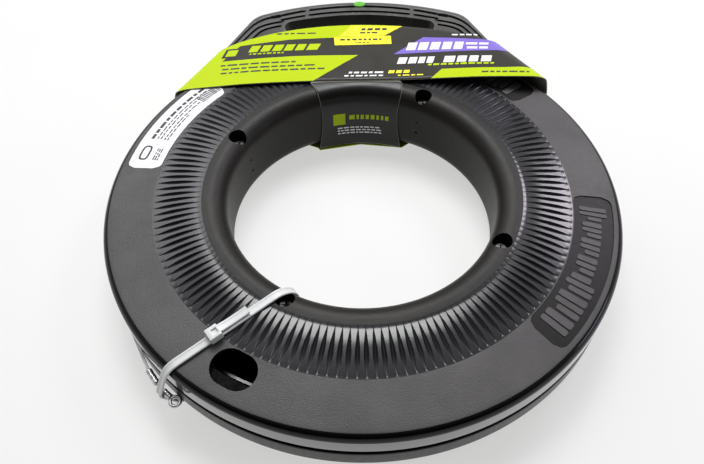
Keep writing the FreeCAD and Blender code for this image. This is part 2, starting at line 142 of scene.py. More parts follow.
def join(parts):
    """Several lots of (verts, faces) as one."""
    verts, faces = [], []
    for more, quads in parts:
        faces += [tuple(len(verts) + k for k in f) for f in quads]
        verts += more
    return verts, faces


@contextmanager
def edited(mesh):
    """The mesh as a bmesh, written back at the end."""
    bm = bmesh.new()
    bm.from_mesh(mesh)
    yield bm
    bm.to_mesh(mesh)
    bm.free()


def fix_normals(obj):
    with edited(obj.data) as bm:
        bmesh.ops.recalc_face_normals(bm, faces=bm.faces)


def face_along(obj, direction):
    """Turns every face so that its normal agrees with direction(centre of the face)."""
    with edited(obj.data) as bm:
        for f in bm.faces:
            if f.normal.dot(direction(f.calc_center_median())) < 0:
                f.normal_flip()


def cut_plane(bm, point, normal):
    bmesh.ops.bisect_plane(bm, geom=bm.verts[:] + bm.edges[:] + bm.faces[:], plane_co=point, plane_no=normal)


def turns(count):
    """Angles spaced evenly over a full turn."""
    return [2 * math.pi * i / count for i in range(count)]


def ring(centre, x_axis, y_axis, radius, count):
    """Points round a circle in the plane of two axes."""
    return [centre + (x_axis * math.cos(t) + y_axis * math.sin(t)) * radius for t in turns(count)]


def loop_faces(rows, columns, closed_rows, closed_columns):
    """Quads of a grid of rows x columns vertices; a closed direction wraps round."""
    faces = []
    for i in range(rows if closed_rows else rows - 1):
        for j in range(columns if closed_columns else columns - 1):
            k, m = (i + 1) % rows, (j + 1) % columns
            faces.append((i * columns + j, i * columns + m, k * columns + m, k * columns + j))
    return faces


def cut(obj, cutters, sharp=30):
    """Applies exact booleans to a piece's mesh and removes the cutters."""
    for cutter in cutters:
        mod = obj.modifiers.new("cut", "BOOLEAN")
        mod.operation, mod.solver, mod.object = "DIFFERENCE", "EXACT", cutter
    graph = bpy.context.evaluated_depsgraph_get()
    mesh = bpy.data.meshes.new_from_object(obj.evaluated_get(graph))
    obj.modifiers.clear()
    old = obj.data
    mesh.name = old.name
    obj.data = mesh
    bpy.data.meshes.remove(old)
    if sharp:
        mesh.set_sharp_from_angle(angle=math.radians(sharp))
    for cutter in cutters:
        bpy.data.objects.remove(cutter)


# ---- materials ----
def socket(shader, name, value):
    shader.inputs[name].default_value = value


def new_material(name, color, rough, metallic=0.0, specular=0.5):
    mat = bpy.data.materials.new(name)
    mat.use_nodes = True
    shader = mat.node_tree.nodes["Principled BSDF"]
    socket(shader, "Base Color", (*color, 1))
    socket(shader, "Roughness", rough)
    socket(shader, "Metallic", metallic)
    socket(shader, "Specular IOR Level", specular)
    return mat, shader


def add_node(owner, kind, **values):
    """A shader node in a material or world; an underscore in a socket's name stands for a space."""
    node = owner.node_tree.nodes.new("ShaderNode" + kind)
    for name, value in values.items():
        socket(node, name.replace("_", " "), value)
    return node


def noise(mat, scale, detail=4.0, stretch=(1, 1, 1)):
    """A noise texture over the object's own coordinates, at a scale in features per metre."""
    links = mat.node_tree.links
    coords = add_node(mat, "TexCoord")
    mapping = add_node(mat, "Mapping", Scale=stretch)
    texture = add_node(mat, "TexNoise", Scale=scale, Detail=detail)
    links.new(coords.outputs["Object"], mapping.inputs["Vector"])
    links.new(mapping.outputs["Vector"], texture.inputs["Vector"])
    return texture.outputs["Fac"]


def remap(mat, source, low, high, start=0.3, end=0.7):
    """The noise between start and end, mapped to the range low to high."""
    node = add_node(mat, "MapRange", From_Min=start, From_Max=end, To_Min=low, To_Max=high)
    mat.node_tree.links.new(source, node.inputs["Value"])
    return node.outputs["Result"]


def mix_color(mat, factor, a, b):
    node = mat.node_tree.nodes.new("ShaderNodeMix")
    node.data_type = "RGBA"
    socket(node, "A", (*a, 1))
    socket(node, "B", (*b, 1))
    mat.node_tree.links.new(factor, node.inputs["Factor"])
    return node.outputs["Result"]


def bump(mat, shader, height, distance, strength=1.0):
    node = add_node(mat, "Bump", Distance=distance, Strength=strength)
    links = mat.node_tree.links
    if shader.inputs["Normal"].is_linked:
        links.new(shader.inputs["Normal"].links[0].from_socket, node.inputs["Normal"])
    links.new(height, node.inputs["Height"])
    links.new(node.outputs["Normal"], shader.inputs["Normal"])


def moulded(name, color, rough, grain=0.0, grain_scale=900.0, spread=0.25, specular=0.5, wave=0.00025):
    """Moulded plastic: fine grain in bump, slow variation in colour and roughness, and faint scuffs."""
    mat, shader = new_material(name, color, rough, specular=specular)
    links = mat.node_tree.links
    slow = noise(mat, 35, 3)
    fine = noise(mat, grain_scale, 2)
    dark, light = ([c * (1 + sign * spread) for c in color] for sign in (-1, 1))
    tone = mix_color(mat, remap(mat, slow, 0, 1), dark, light)
    links.new(tone, shader.inputs["Base Color"])
    scuffs = noise(mat, 220, 6, (1, 6, 1))
    links.new(remap(mat, scuffs, rough * 0.9, rough * 1.15), shader.inputs["Roughness"])
    bump(mat, shader, slow, wave, 0.35)
    if grain:
        bump(mat, shader, fine, grain)
    return mat


def steel(name, color, rough, lines=(1, 1, 12)):
    """Steel with fine drawn lines."""
    mat, shader = new_material(name, color, rough, metallic=1.0)
    links = mat.node_tree.links
    drawn = noise(mat, 260, 5, lines)
    links.new(remap(mat, drawn, rough * 0.7, rough * 1.35), shader.inputs["Roughness"])
    tone = mix_color(mat, remap(mat, drawn, 0, 1), [c * 0.82 for c in color], color)
    links.new(tone, shader.inputs["Base Color"])
    bump(mat, shader, drawn, 0.00004)
    return mat


def board(name, color, rough=0.38, spread=0.05, specular=0.3):
    """Coated card or film: even ink with a trace of fibre and a slight unevenness."""
    mat, shader = new_material(name, color, rough, specular=specular)
    links = mat.node_tree.links
    fibre = noise(mat, 700, 4, (1, 3, 1))
    tone = mix_color(mat, remap(mat, fibre, 0, 1), [c * (1 - spread) for c in color], color)
    links.new(tone, shader.inputs["Base Color"])
    links.new(remap(mat, noise(mat, 60, 3), rough * 0.85, rough * 1.2), shader.inputs["Roughness"])
    bump(mat, shader, fibre, 0.00002)
    return mat


GRAIN = moulded("case_grain", (0.046, 0.043, 0.043), 0.48, grain=0.00018, grain_scale=1700)
HUB_SKIN = moulded("case_hub", (0.009, 0.0075, 0.0055), 0.42, grain=0.00014, grain_scale=1700, specular=0.25)
RIB_GLOSS = moulded("case_ribs", (0.008, 0.008, 0.010), 0.20, spread=0.05, wave=0.0)
RIM_GLOSS = moulded("case_rim", (0.0015, 0.0015, 0.002), 0.10, spread=0.05, specular=0.25, wave=0.0)
# Upper rim wall: the glossy coat is real; its base colour, far lighter than the black rim's, is a painted
# reflection of the white floor.
WALL_SATIN_PAINTED_REFLECTION = moulded("case_rim_wall", (0.055, 0.057, 0.054), 0.2, spread=0.04, specular=1.0, wave=0.0)
socket(WALL_SATIN_PAINTED_REFLECTION.node_tree.nodes["Principled BSDF"], "Coat Weight", 1.0)
# Lower rim wall: a darker, rougher copy of the same wall, painted shade for the contact shadow on the floor
# that it reflects.
WALL_PAINTED_SHADE = moulded("case_rim_wall_low_painted_shade", (0.014, 0.0145, 0.014), 0.34, spread=0.04, specular=0.35, wave=0.0)
PANEL_SKIN = moulded("case_panel", (0.007, 0.006, 0.006), 0.42, grain=0.00003, specular=0.2, wave=0.0)
# Inside of the shells, the slot between them and the walls of cut holes and wells: near black, painted shade.
INSIDE_PAINTED_SHADE = moulded("case_inside_painted_shade", (0.004, 0.004, 0.004), 0.6, specular=0.15)
HANDLE_SKIN = moulded("handle_satin", (0.055, 0.054, 0.050), 0.40, grain=0.00004, grain_scale=1400)
TAPE_STEEL = steel("tape_spring_steel", (0.30, 0.30, 0.31), 0.36)
# Coil steel: near black, painted shade of the coil inside the closed case.
COIL_PAINTED_SHADE = steel("tape_coil_painted_shade", (0.006, 0.006, 0.006), 0.6)
# Inner lead: the tape's spring steel made darker, painted shade for its place inside the case.
LEAD_STEEL_PAINTED_SHADE = steel("tape_lead_painted_shade", (0.085, 0.085, 0.085), 0.34)
BRIGHT = steel("leader_bright_steel", (0.62, 0.62, 0.64), 0.34, (6, 6, 1))
SCREW_BLACK = steel("screw_black_oxide", (0.16, 0.155, 0.15), 0.38)
NYLON, nylon_shader = new_material("nylon_natural", (0.62, 0.63, 0.62), 0.38)
socket(nylon_shader, "Subsurface Weight", 0.15)
socket(nylon_shader, "Subsurface Radius", (0.002, 0.002, 0.0015))
bump(NYLON, nylon_shader, noise(NYLON, 900, 3), 0.00004)
CARD_DARK = board("card_dark", (0.020, 0.018, 0.013))
CARD_TAB = board("card_tab", (0.007, 0.007, 0.006), 0.34, specular=0.35)
CARD_LIME = board("card_lime", (0.47, 0.61, 0.003), specular=0.12)
CARD_PURPLE = board("card_purple", (0.21, 0.14, 0.58))
CARD_WHITE = board("card_white", (0.85, 0.85, 0.85))
CARD_YELLOW = board("card_yellow", (0.92, 0.86, 0.03))
CARD_INK = board("card_ink", (0.035, 0.035, 0.035))
CARD_BACK = board("card_grey_back", (0.26, 0.25, 0.21), 0.7)
LABEL_WHITE = board("label_white", (0.80, 0.80, 0.82), 0.3)
# Handle grooves and pockets: near-black walls, painted shade in the recesses.
GROOVE_PAINTED_SHADE = moulded("handle_groove_painted_shade", (0.008, 0.008, 0.008), 0.5)
BADGE_GREEN = moulded("badge_green", (0.10, 0.42, 0.02), 0.25)


# ---- case shells ----
def face_z(radius, drop=0.0):
    """Height of the outer face above the middle plane."""
    lean = math.radians(FACE_TILT)
    top = HUB_HALF - HUB_FILLET + HUB_FILLET * math.cos(lean)
    return top - (radius - HUB_R - HUB_FILLET - HUB_FILLET * math.sin(lean)) * math.tan(lean) - drop


def corner_arc(centre, radius, a0, a1, steps):
    points = []
    for i in range(steps + 1):
        a = math.radians(a0 + (a1 - a0) * i / steps)
        points.append((centre[0] + radius * math.cos(a), centre[1] + radius * math.sin(a)))
    return points


def shell_profile():
    """The closed half section as (R, z, kind): hub wall, face, rim, slot and back inside."""
    hub_c, rim_c = (HUB_R + HUB_FILLET, HUB_HALF - HUB_FILLET), (CASE_R - RIM_FILLET, RIM_STRAIGHT)
    tilt = 90 - FACE_TILT
    rows = [(HUB_R, 0.0, "hub"), (HUB_R, 0.35, "hub")]
    rows += [(HUB_R, hub_c[1] * i / 3, "hub") for i in (1, 2)]
    rows += [(r, z, "hub") for r, z in corner_arc(hub_c, HUB_FILLET, 180, tilt, 12)]
    inner, outer = RIB_R
    rows.append((inner - 0.6, face_z(inner - 0.6), "hub"))
    for i in range(RIB_ROWS + 1):
        r = inner + (outer - inner) * i / RIB_ROWS
        rows.append((r, face_z(r), "rib"))
    rows += [(r, face_z(r), "face") for r in (outer + 0.5, 127, 132, 137, 142, 146)]
    rim = corner_arc(rim_c, RIM_FILLET, tilt, 0, 8)
    rows += [(rim[0][0], rim[0][1], "face")] + [(r, z, "rim") for r, z in rim[1:]]
    rows[-1] = (*rows[-1][:2], "wall")
    rows += [(CASE_R, SLOT_HALF + 0.5, "wall"), (CASE_R - 0.3, SLOT_HALF, "inside"),
             (CASE_R - WALL, SLOT_HALF, "inside")]
    rows += [(r, z, "inside") for r, z in corner_arc(rim_c, RIM_FILLET - WALL, 0, tilt, 3)]
    rows += [(r, z, "inside") for r, z in corner_arc(hub_c, HUB_FILLET - WALL, tilt, 180, 6)]
    rows.append((HUB_R + WALL, 0.0, "inside"))
    return rows


def rib_row(radius):
    """(phase, height) of each column round one rib: the middle of a land, then across its groove."""
    u = (radius - RIB_R[0]) / (RIB_R[1] - RIB_R[0])
    if not 0 < u < 1:
        return [(-0.5, 0.0)] + [(t * GROOVE_WIDTH, 0.0) for t in STATIONS]
    if u < LAND_KINK:
        rise = LAND_END + (LAND_PEAK - LAND_END) * math.sin(math.pi / 2 * u / LAND_KINK)
    else:
        rise = LAND_PEAK * math.cos(math.pi / 2 * (u - LAND_KINK) / (1 - LAND_KINK))
    rise *= min(1.0, u / 0.05)
    leaf = math.sin(math.pi * u ** 1.2)
    width = max(0.03, GROOVE_WIDTH * leaf ** 0.8)
    return [(-0.5, rise)] + [(t * width, rise - GROOVE_DEPTH * leaf * (1 - abs(t) ** 1.6)) for t in STATIONS]


def shell(name, side):
    """One shell as a closed ring: side 1 is the upper shell and -1 the lower one."""
    rows = shell_profile()
    kinds = {"hub": 0, "rib": 1, "face": 2, "rim": 3, "inside": 4, "wall": 6}
    verts = []
    for r, z, kind in rows:
        row = rib_row(r if kind == "rib" else 0.0)
        verts += [polar(r, (k + 0.5 + phase) * 360.0 / RIBS, side * (z + lift))
                  for k in range(RIBS) for phase, lift in row]
    n = RIBS * (1 + len(STATIONS))
    faces = loop_faces(len(rows), n, True, True)
    if side < 0:
        faces = [f[::-1] for f in faces]
    skins = [kinds[kind] for _, _, kind in rows for _ in range(n)]
    # The upper shell's wall gets the painted reflection, the lower shell's wall the painted shade.
    wall = WALL_SATIN_PAINTED_REFLECTION if side > 0 else WALL_PAINTED_SHADE
    return piece(name, verts, faces, [HUB_SKIN, RIB_GLOSS, GRAIN, RIM_GLOSS, INSIDE_PAINTED_SHADE, PANEL_SKIN, wall], None,
                 skins, sharp=32)


def cutter(verts, faces, skin):
    """A closed mesh for a boolean; skin is the number of the material that its cut faces get."""
    obj = piece("cutter", verts, faces, [HUB_SKIN], None, [skin] * len(faces), smooth=False)
    fix_normals(obj)
    return obj


def prism(outline, z0, z1, skin=4):
    """A cutter: a straight prism over a closed (x, y) outline. By default its cut walls get material 4, near
    black as painted shade.
    """
    verts = [(x, y, z0) for x, y in outline] + [(x, y, z1) for x, y in outline]
    return cutter(verts, tube_faces(2, len(outline)), skin)


def access_outline():
    """The access hole's obround outline, long side across the radius."""
    long, wide = ACCESS_SIZE
    flat, r = (long - wide) / 2, wide / 2
    turn = math.radians(ACCESS_ANGLE + 90)
    centre = polar(ACCESS_R, ACCESS_ANGLE)
    points, count = [], 48
    for i in range(count):
        a = 2 * math.pi * (i + 0.5) / count
        x, y = r * math.cos(a) + math.copysign(flat, math.cos(a)), r * math.sin(a)
        points.append((centre.x + x * math.cos(turn) - y * math.sin(turn),
                       centre.y + x * math.sin(turn) + y * math.cos(turn)))
    return points


def sector_grid(a0, a1, r0, r1, corner, steps, rows):
    """Columns of (angle, radius) points over a sector with rounded corners."""
    middle = (r0 + r1) / 2
    half = math.radians(a1 - a0) / 2 * middle
    grid = []
    for i in range(steps + 1):
        along = -half + 2 * half * i / steps
        over = max(0.0, abs(along) - (half - corner))
        inset = corner - math.sqrt(max(0.0, corner ** 2 - over ** 2))
        angle = (a0 + a1) / 2 + math.degrees(along / middle)
        grid.append([(angle, r0 + inset + (r1 - r0 - 2 * inset) * j / rows) for j in range(rows + 1)])
    return grid


def slab(grid, low, high):
    """A closed cutter or raised pad over a sector grid, between two heights given as functions of radius."""
    n, m = len(grid), len(grid[0])
    verts = [polar(r, a, height(r)) for height in (low, high) for column in grid for a, r in column]
    bottom = loop_faces(n, m, False, False)
    top = [tuple(k + n * m for k in f[::-1]) for f in bottom]
    edge = [i * m for i in range(n)] + [(n - 1) * m + j for j in range(1, m)]
    edge += [i * m + m - 1 for i in range(n - 2, -1, -1)] + list(range(m - 2, 0, -1))
    sides = [(p, q, q + n * m, p + n * m) for p, q in zip(edge, edge[1:] + edge[:1])]
    return verts, top + bottom + sides


def recess(angles):
    grid = sector_grid(*angles, *PANEL_R, PANEL_CORNER, 60, 6)
    return cutter(*slab(grid, lambda r: face_z(r, PANEL_DEPTH), lambda r: face_z(r) + 3), 5)


def pin_drills(side):
    """Cutters for the small blind holes in the hub wall, as one mesh."""
    drills, count = [], 16
    for angle in SCREW_ANGLES:
        start, end = (ring(polar(HUB_R + reach, angle, side * PIN_Z), polar(1, angle + 90), UP, PIN_R, count)
                      for reach in (-1.0, 1.3))
        drills.append((start + end, tube_faces(2, count)))
    # Material 4: the holes' walls get painted shade.
    return cutter(*join(drills), 4)


def panel_strokes():
    """Raised strokes in the two panels: a plain pattern that stands where the case carries lettering."""
    strokes = []
    for start, end in STROKE_SPANS:
        angle, number = start, 0
        while (end - angle) / (end - start) > 0.02:
            part = (angle - start) / (end - start)
            last_of_three = number % 3 == 2
            r0, r1 = STROKE_TALL if number < 2 or part > 0.62 else STROKE_SHORT
            if last_of_three:
                r0 += 3.0
            step = math.copysign((1.0 + 0.6 * part) * (1.0 if number % 3 else 1.25), end - start)
            grid = sector_grid(*sorted((angle, angle + step)), r0, r1, 0.9, 8, 2)
            strokes.append(slab(grid, lambda r: face_z(r, PANEL_DEPTH + 0.02), lambda r: face_z(r, 0.18)))
            angle += step + math.copysign(0.75 if last_of_three else 0.42, step)
            number += 1
    obj = piece("case_panel_strokes", *join(strokes), [GRAIN], "case", sharp=30, slot="case_plastic")
    fix_normals(obj)


def top_shell():
    obj = shell("case_top_moulding", 1)
    wells = [ring(polar(SCREW_R, a), X, Y, BORE_R, 40) for a in SCREW_ANGLES]
    # The wells' and the access hole's cut walls get material 4, painted shade.
    cutters = [prism([p.xy for p in well], BOSS_FLOOR + 0.4, 40) for well in wells]
    cutters.append(prism(access_outline(), 8, 40))
    cutters += [recess(angles) for angles in PANELS]
    cutters.append(pin_drills(1))
    cut(obj, cutters)
    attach(obj, "case")
    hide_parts("case_top_shell")


def bottom_shell():
    obj = shell("case_bottom_moulding", -1)
    cut(obj, [pin_drills(-1)])
    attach(obj, "case")
    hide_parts("case_bottom_shell")


def boss_cups():
    """The screw bosses: round wells below the counterbores, each with a flat floor."""
    def shell_top(point):
        r = point.length
        if r < HUB_R + HUB_FILLET:
            inward = HUB_R + HUB_FILLET - r
            return HUB_HALF - HUB_FILLET + math.sqrt(max(0.0, HUB_FILLET ** 2 - inward ** 2))
        return face_z(r)
    count = 40
    for number, angle in enumerate(SCREW_ANGLES):
        centre = polar(SCREW_R, angle)
        shank, bore, outside = (ring(centre, X, Y, r, count) for r in (SHANK_GAP_R, BORE_R, BOSS_R - 0.1))
        verts = [(p.x, p.y, BOSS_FLOOR) for p in shank + bore]
        verts += [(p.x, p.y, shell_top(p) - 1.1) for p in bore]
        verts += [(p.x, p.y, max(BOSS_FLOOR + 1, shell_top(p) - 1.4)) for p in outside]
        verts += [(p.x, p.y, 0.2) for p in outside]
        obj = piece(f"case_boss_{number + 1}", verts, loop_faces(5, count, False, True), [HUB_SKIN], "case",
                    sharp=40, slot="case_plastic")
        fix_normals(obj)


# ---- label ----
def marks_piece(name, marks, place, step, quad, material, body, slot):
    """Printed marks (angle, angle, value, value); place(angle, value) lays a corner on its surface."""
    parts = []
    for a0, a1, low, high in marks:
        steps = max(1, int(abs(a1 - a0) / step))
        along = [a0 + (a1 - a0) * i / steps for i in range(steps + 1)]
        parts.append(([place(a, value) for a in along for value in (low, high)],
                      [tuple(2 * i + k for k in quad) for i in range(steps)]))
    piece(name, *join(parts), [material], body, smooth=False, slot=slot)


def dashes(start, end, rng, longest=3.2, gap=0.55):
    """Word-like dashes between two positions."""
    out, at, sign = [], start, math.copysign(1, end - start)
    while (end - at) * sign > gap:
        to = at + sign * min(abs(end - at), rng.uniform(0.35, 1.0) * longest)
        out.append((at, to))
        at = to + sign * gap
    return out


def dash_marks(start, end, low, high, rng, longest, gap):
    return [(p, q, low, high) for p, q in dashes(start, end, rng, longest, gap)]


def label():
    grid = sector_grid(*LABEL_ANGLES, PANEL_R[0] + 0.6, PANEL_R[1] - 0.4, 5.0, 48, 8)
    film = slab(grid, lambda r: face_z(r, 0.05), lambda r: face_z(r, -0.14))
    obj = piece("case_label_film", *film, [LABEL_WHITE], "case", sharp=30)
    fix_normals(obj)
    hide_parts("case_label")
    rng = random.Random(7)
    marks = dash_marks(161.5, 137.5, 138.6, 140.7, rng, 3.2, 0.5)
    for r, end in ((136.4, 139.5), (134.2, 142.5), (131.4, 144.0), (129.4, 150.0)):
        marks += dash_marks(161.2, end, r - 0.55, r + 0.35, rng, 2.2, 0.4)
    for k in range(3):
        marks += dash_marks(169.0, 164.0, 131.0 - k * 1.4, 131.8 - k * 1.4, rng, 1.8, 0.4)
    marks += [(143.5 - 0.62 * k, 143.5 - 0.62 * k - rng.uniform(0.2, 0.45), 129.0, 136.0) for k in range(12)]
    marks_piece("case_label_print", marks, lambda a, r: polar(r, a, face_z(r, -PRINT_LIFT)), 1.5,
                (0, 1, 3, 2), CARD_INK, "case", "label_film")
    label_oval(138.4, 166.6, 3.2, 6.2)


def label_oval(radius, angle, half_width, half_length):
    """An empty oval outline, printed at the label's end."""
    verts, count = [], 48
    for inset in (0.0, 0.38 * half_width):
        for t in turns(count):
            x, y = (math.copysign(abs(c) ** 0.6, c) * (half - inset)
                    for c, half in ((math.cos(t), half_width), (math.sin(t), half_length)))
            p = polar(radius, angle) + polar(x, angle) + polar(y, angle + 90)
            verts.append((p.x, p.y, face_z(p.length, -PRINT_LIFT)))
    faces = loop_faces(2, count, False, True)
    oval = piece("case_label_emblem", verts, faces, [CARD_INK], "case", smooth=False)


# ---- card sleeve ----
def arc_path(centre_y, radius, x0, x1, steps=16):
    """Points from x0 to x1 on the far side of a circle about (0, centre_y)."""
    return [(x, centre_y + math.sqrt(radius * radius - x * x))
            for x in (x0 + (x1 - x0) * i / steps for i in range(steps + 1))]


def between(p, q, t):
    return p[0] + (q[0] - p[0]) * t, p[1] + (q[1] - p[1]) * t


def rounded_loop(points):
    """A closed outline with its corners cut and cut again, so that it bends smoothly inside the polygon."""
    for near in (0.15, 0.25, 0.25):
        out = []
        for i, p in enumerate(points):
            q = points[(i + 1) % len(points)]
            out += [between(p, q, t) for t in (near, 1 - near)]
        points = out
    return points


NEAR, FAR = rounded_loop(CARD_NEAR), rounded_loop(CARD_FAR)
CARD_SINK = 0.12                                # the visible card lies this far inside the CAD's outline


def card_point(i, v):
    """Point i of the section at v, 0 on the near edge and 1 on the far plane."""
    (x0, z0), (x1, z1) = NEAR[i], FAR[i]
    return Vector((x0 + (x1 - x0) * v, CARD_Y[0] + (CARD_Y[1] - CARD_Y[0]) * v, z0 + (z1 - z0) * v))


def card_end(i):
    """The v at which ruling i meets the curved far edge."""
    low, high = 0.0, 1.1
    for _ in range(30):
        middle = (low + high) / 2
        p = card_point(i, middle)
        if math.hypot(p.x, p.y - CARD_END_Y) < CARD_END_R:
            low = middle
        else:
            high = middle
    return low


def top_rulings():
    return [i for i in range(int(0.72 * len(NEAR))) if NEAR[i][1] > 0.5]


def height_on(path, x):
    """Height at x of a line of (x, z) points, level past its ends."""
    for (x0, z0), (x1, z1) in zip(path, path[1:]):
        if x0 <= x <= x1:
            return z0 + (z1 - z0) * (x - x0) / max(1e-6, x1 - x0)
    return path[0][1] if x < path[0][0] else path[-1][1]


def card_height(x, y, lift):
    """Height of the front panel over (x, y)."""
    v = (y - CARD_Y[0]) / (CARD_Y[1] - CARD_Y[0])
    return height_on([card_point(i, v).xz for i in top_rulings()], x) + lift - CARD_SINK


def printed(name, outlines, lift, material, replaces=None, slot="printed_card"):
    """Ink or film on the front panel: flat outlines, cut along the card's rulings and laid on it."""
    bm = bmesh.new()
    for outline in outlines:
        bm.faces.new([bm.verts.new((x, y, 0)) for x, y in outline])
    for i in top_rulings():
        a, b = card_point(i, 0), card_point(i, 1)
        cut_plane(bm, (a.x, a.y, 0), (b.y - a.y, a.x - b.x, 0))
    for row in range(1, 24):
        cut_plane(bm, (0, CARD_Y[0] + 3.0 * row, 0), Y)
    bmesh.ops.triangulate(bm, faces=[f for f in bm.faces if len(f.verts) > 4])
    verts = [(v.co.x, v.co.y, card_height(v.co.x, v.co.y, lift)) for v in bm.verts]
    bm.verts.index_update()
    faces = [tuple(v.index for v in f.verts) for f in bm.faces]
    bm.free()
    obj = piece(name, verts, faces, [material], "handle", slot=slot)
    if replaces:
        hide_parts(replaces)


def bar(x0, x1, y, height, slant=0.0):
    return [(x0, y), (x1, y), (x1 + slant, y + height), (x0 + slant, y + height)]


def bars(spans, y, height, slant):
    return [bar(p, q, y, height, slant) for p, q in spans]


def words(x0, x1, y, height, rng, slant=0.0, longest=9.0, gap=1.3):
    """A line of print as plain bars, so that it reads as text from afar and says nothing."""
    return bars(dashes(x0, x1, rng, longest, gap), y, height, slant)


def sleeve_mesh():
    n, rows = len(NEAR), 22
    verts, ends = [], [card_end(i) for i in range(n)]
    for j in range(rows + 1):
        for i in range(n):
            p = card_point(i, ends[i] * j / rows)
            verts.append(p - Vector((p.x / 130, 0, p.z / 24)).normalized() * CARD_SINK)
    faces, top = loop_faces(rows + 1, n, False, True), set(top_rulings())
    skins = [0 if i in top else 1 for i in range(n)] * rows
    obj = piece("sleeve_wrap", verts, faces, [CARD_DARK, CARD_LIME, CARD_BACK], "handle", skins, sharp=50)
    face_along(obj, lambda c: Vector((c.x, 0, c.z - MID * MM)))
    thicken(obj, CARD_T, 2)
    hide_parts("card_sleeve")


def thicken(obj, thickness, back_offset, even=True):
    """Gives a sheet its thickness; back_offset is how many material slots further the back's material is."""
    mod = obj.modifiers.new("thickness", "SOLIDIFY")
    mod.thickness, mod.offset, mod.use_even_offset = thickness * MM, -1.0, even
    mod.material_offset, mod.material_offset_rim = back_offset, back_offset


TAB_R, FOOT_Z = 79.1, -24.1                     # radius of the tab's printed side, and height of the foot


def tab_angle(side, z):
    """Edge of the tab on the hub wall: its waist is narrower than its two ends."""
    half = 18.6 + 0.0031 * (z - 6) ** 2
    return 90.4 - side * half


def sleeve_tab():
    """The tab that folds over the hub lip and hangs inside the hub down to the floor."""
    columns, fold = 20, ((-35.0, 24.3), (28.0, 24.6))
    path = ((86.6, 24.0), (83.4, 22.0), (81.0, 18.6), (79.6, 14.0), (TAB_R, 8.0), (TAB_R, 0.0), (TAB_R, -8.0),
            (TAB_R, -16.0), (TAB_R - 0.2, -23.4))
    verts = []
    for i in range(columns + 1):
        x, z = between(*fold, i / columns)
        verts.append((x, CARD_Y[0] - 0.05, z - CARD_SINK))
    for r, z in path:
        left, right = tab_angle(-1, min(z, 20)), tab_angle(1, min(z, 20))
        verts += [polar(r, left + (right - left) * i / columns, z) for i in range(columns + 1)]
    faces = loop_faces(len(path) + 1, columns + 1, False, False)
    obj = piece("sleeve_tab", verts, faces, [CARD_TAB, CARD_BACK], "handle", sharp=60, slot="printed_card")
    face_along(obj, lambda c: Vector((-c.x, -c.y, 0.02)))
    thicken(obj, CARD_T, 1)
    bend = obj.modifiers.new("soft_folds", "SUBSURF")
    bend.levels = bend.render_levels = 1


def sleeve_foot():
    """The end of the lower panel, which shows at the floor on both sides of the tab."""
    outline = ((-46, 96), (-44.5, 82), (-30, 75.6), (-28.6, 73.6), (0, 79.0), (29, 75.4), (31, 77.0),
               (40.5, 84.5), (42, 96))
    verts = [(x, y, FOOT_Z) for x, y in outline]
    obj = piece("sleeve_foot", verts, [tuple(range(len(verts)))[::-1]], [CARD_BACK, CARD_LIME], "handle",
                smooth=False, slot="printed_card")
    face_along(obj, lambda c: -UP)
    thicken(obj, 0.5, 1, even=False)


def tab_marks(name, marks, material):
    """Print on the tab: bars (angle0, angle1, z0, z1) just proud of its face."""
    marks_piece(name, marks, lambda a, z: polar(TAB_R - 0.09, a, z), 1.2, (0, 2, 3, 1), material, "handle",
                "printed_card")


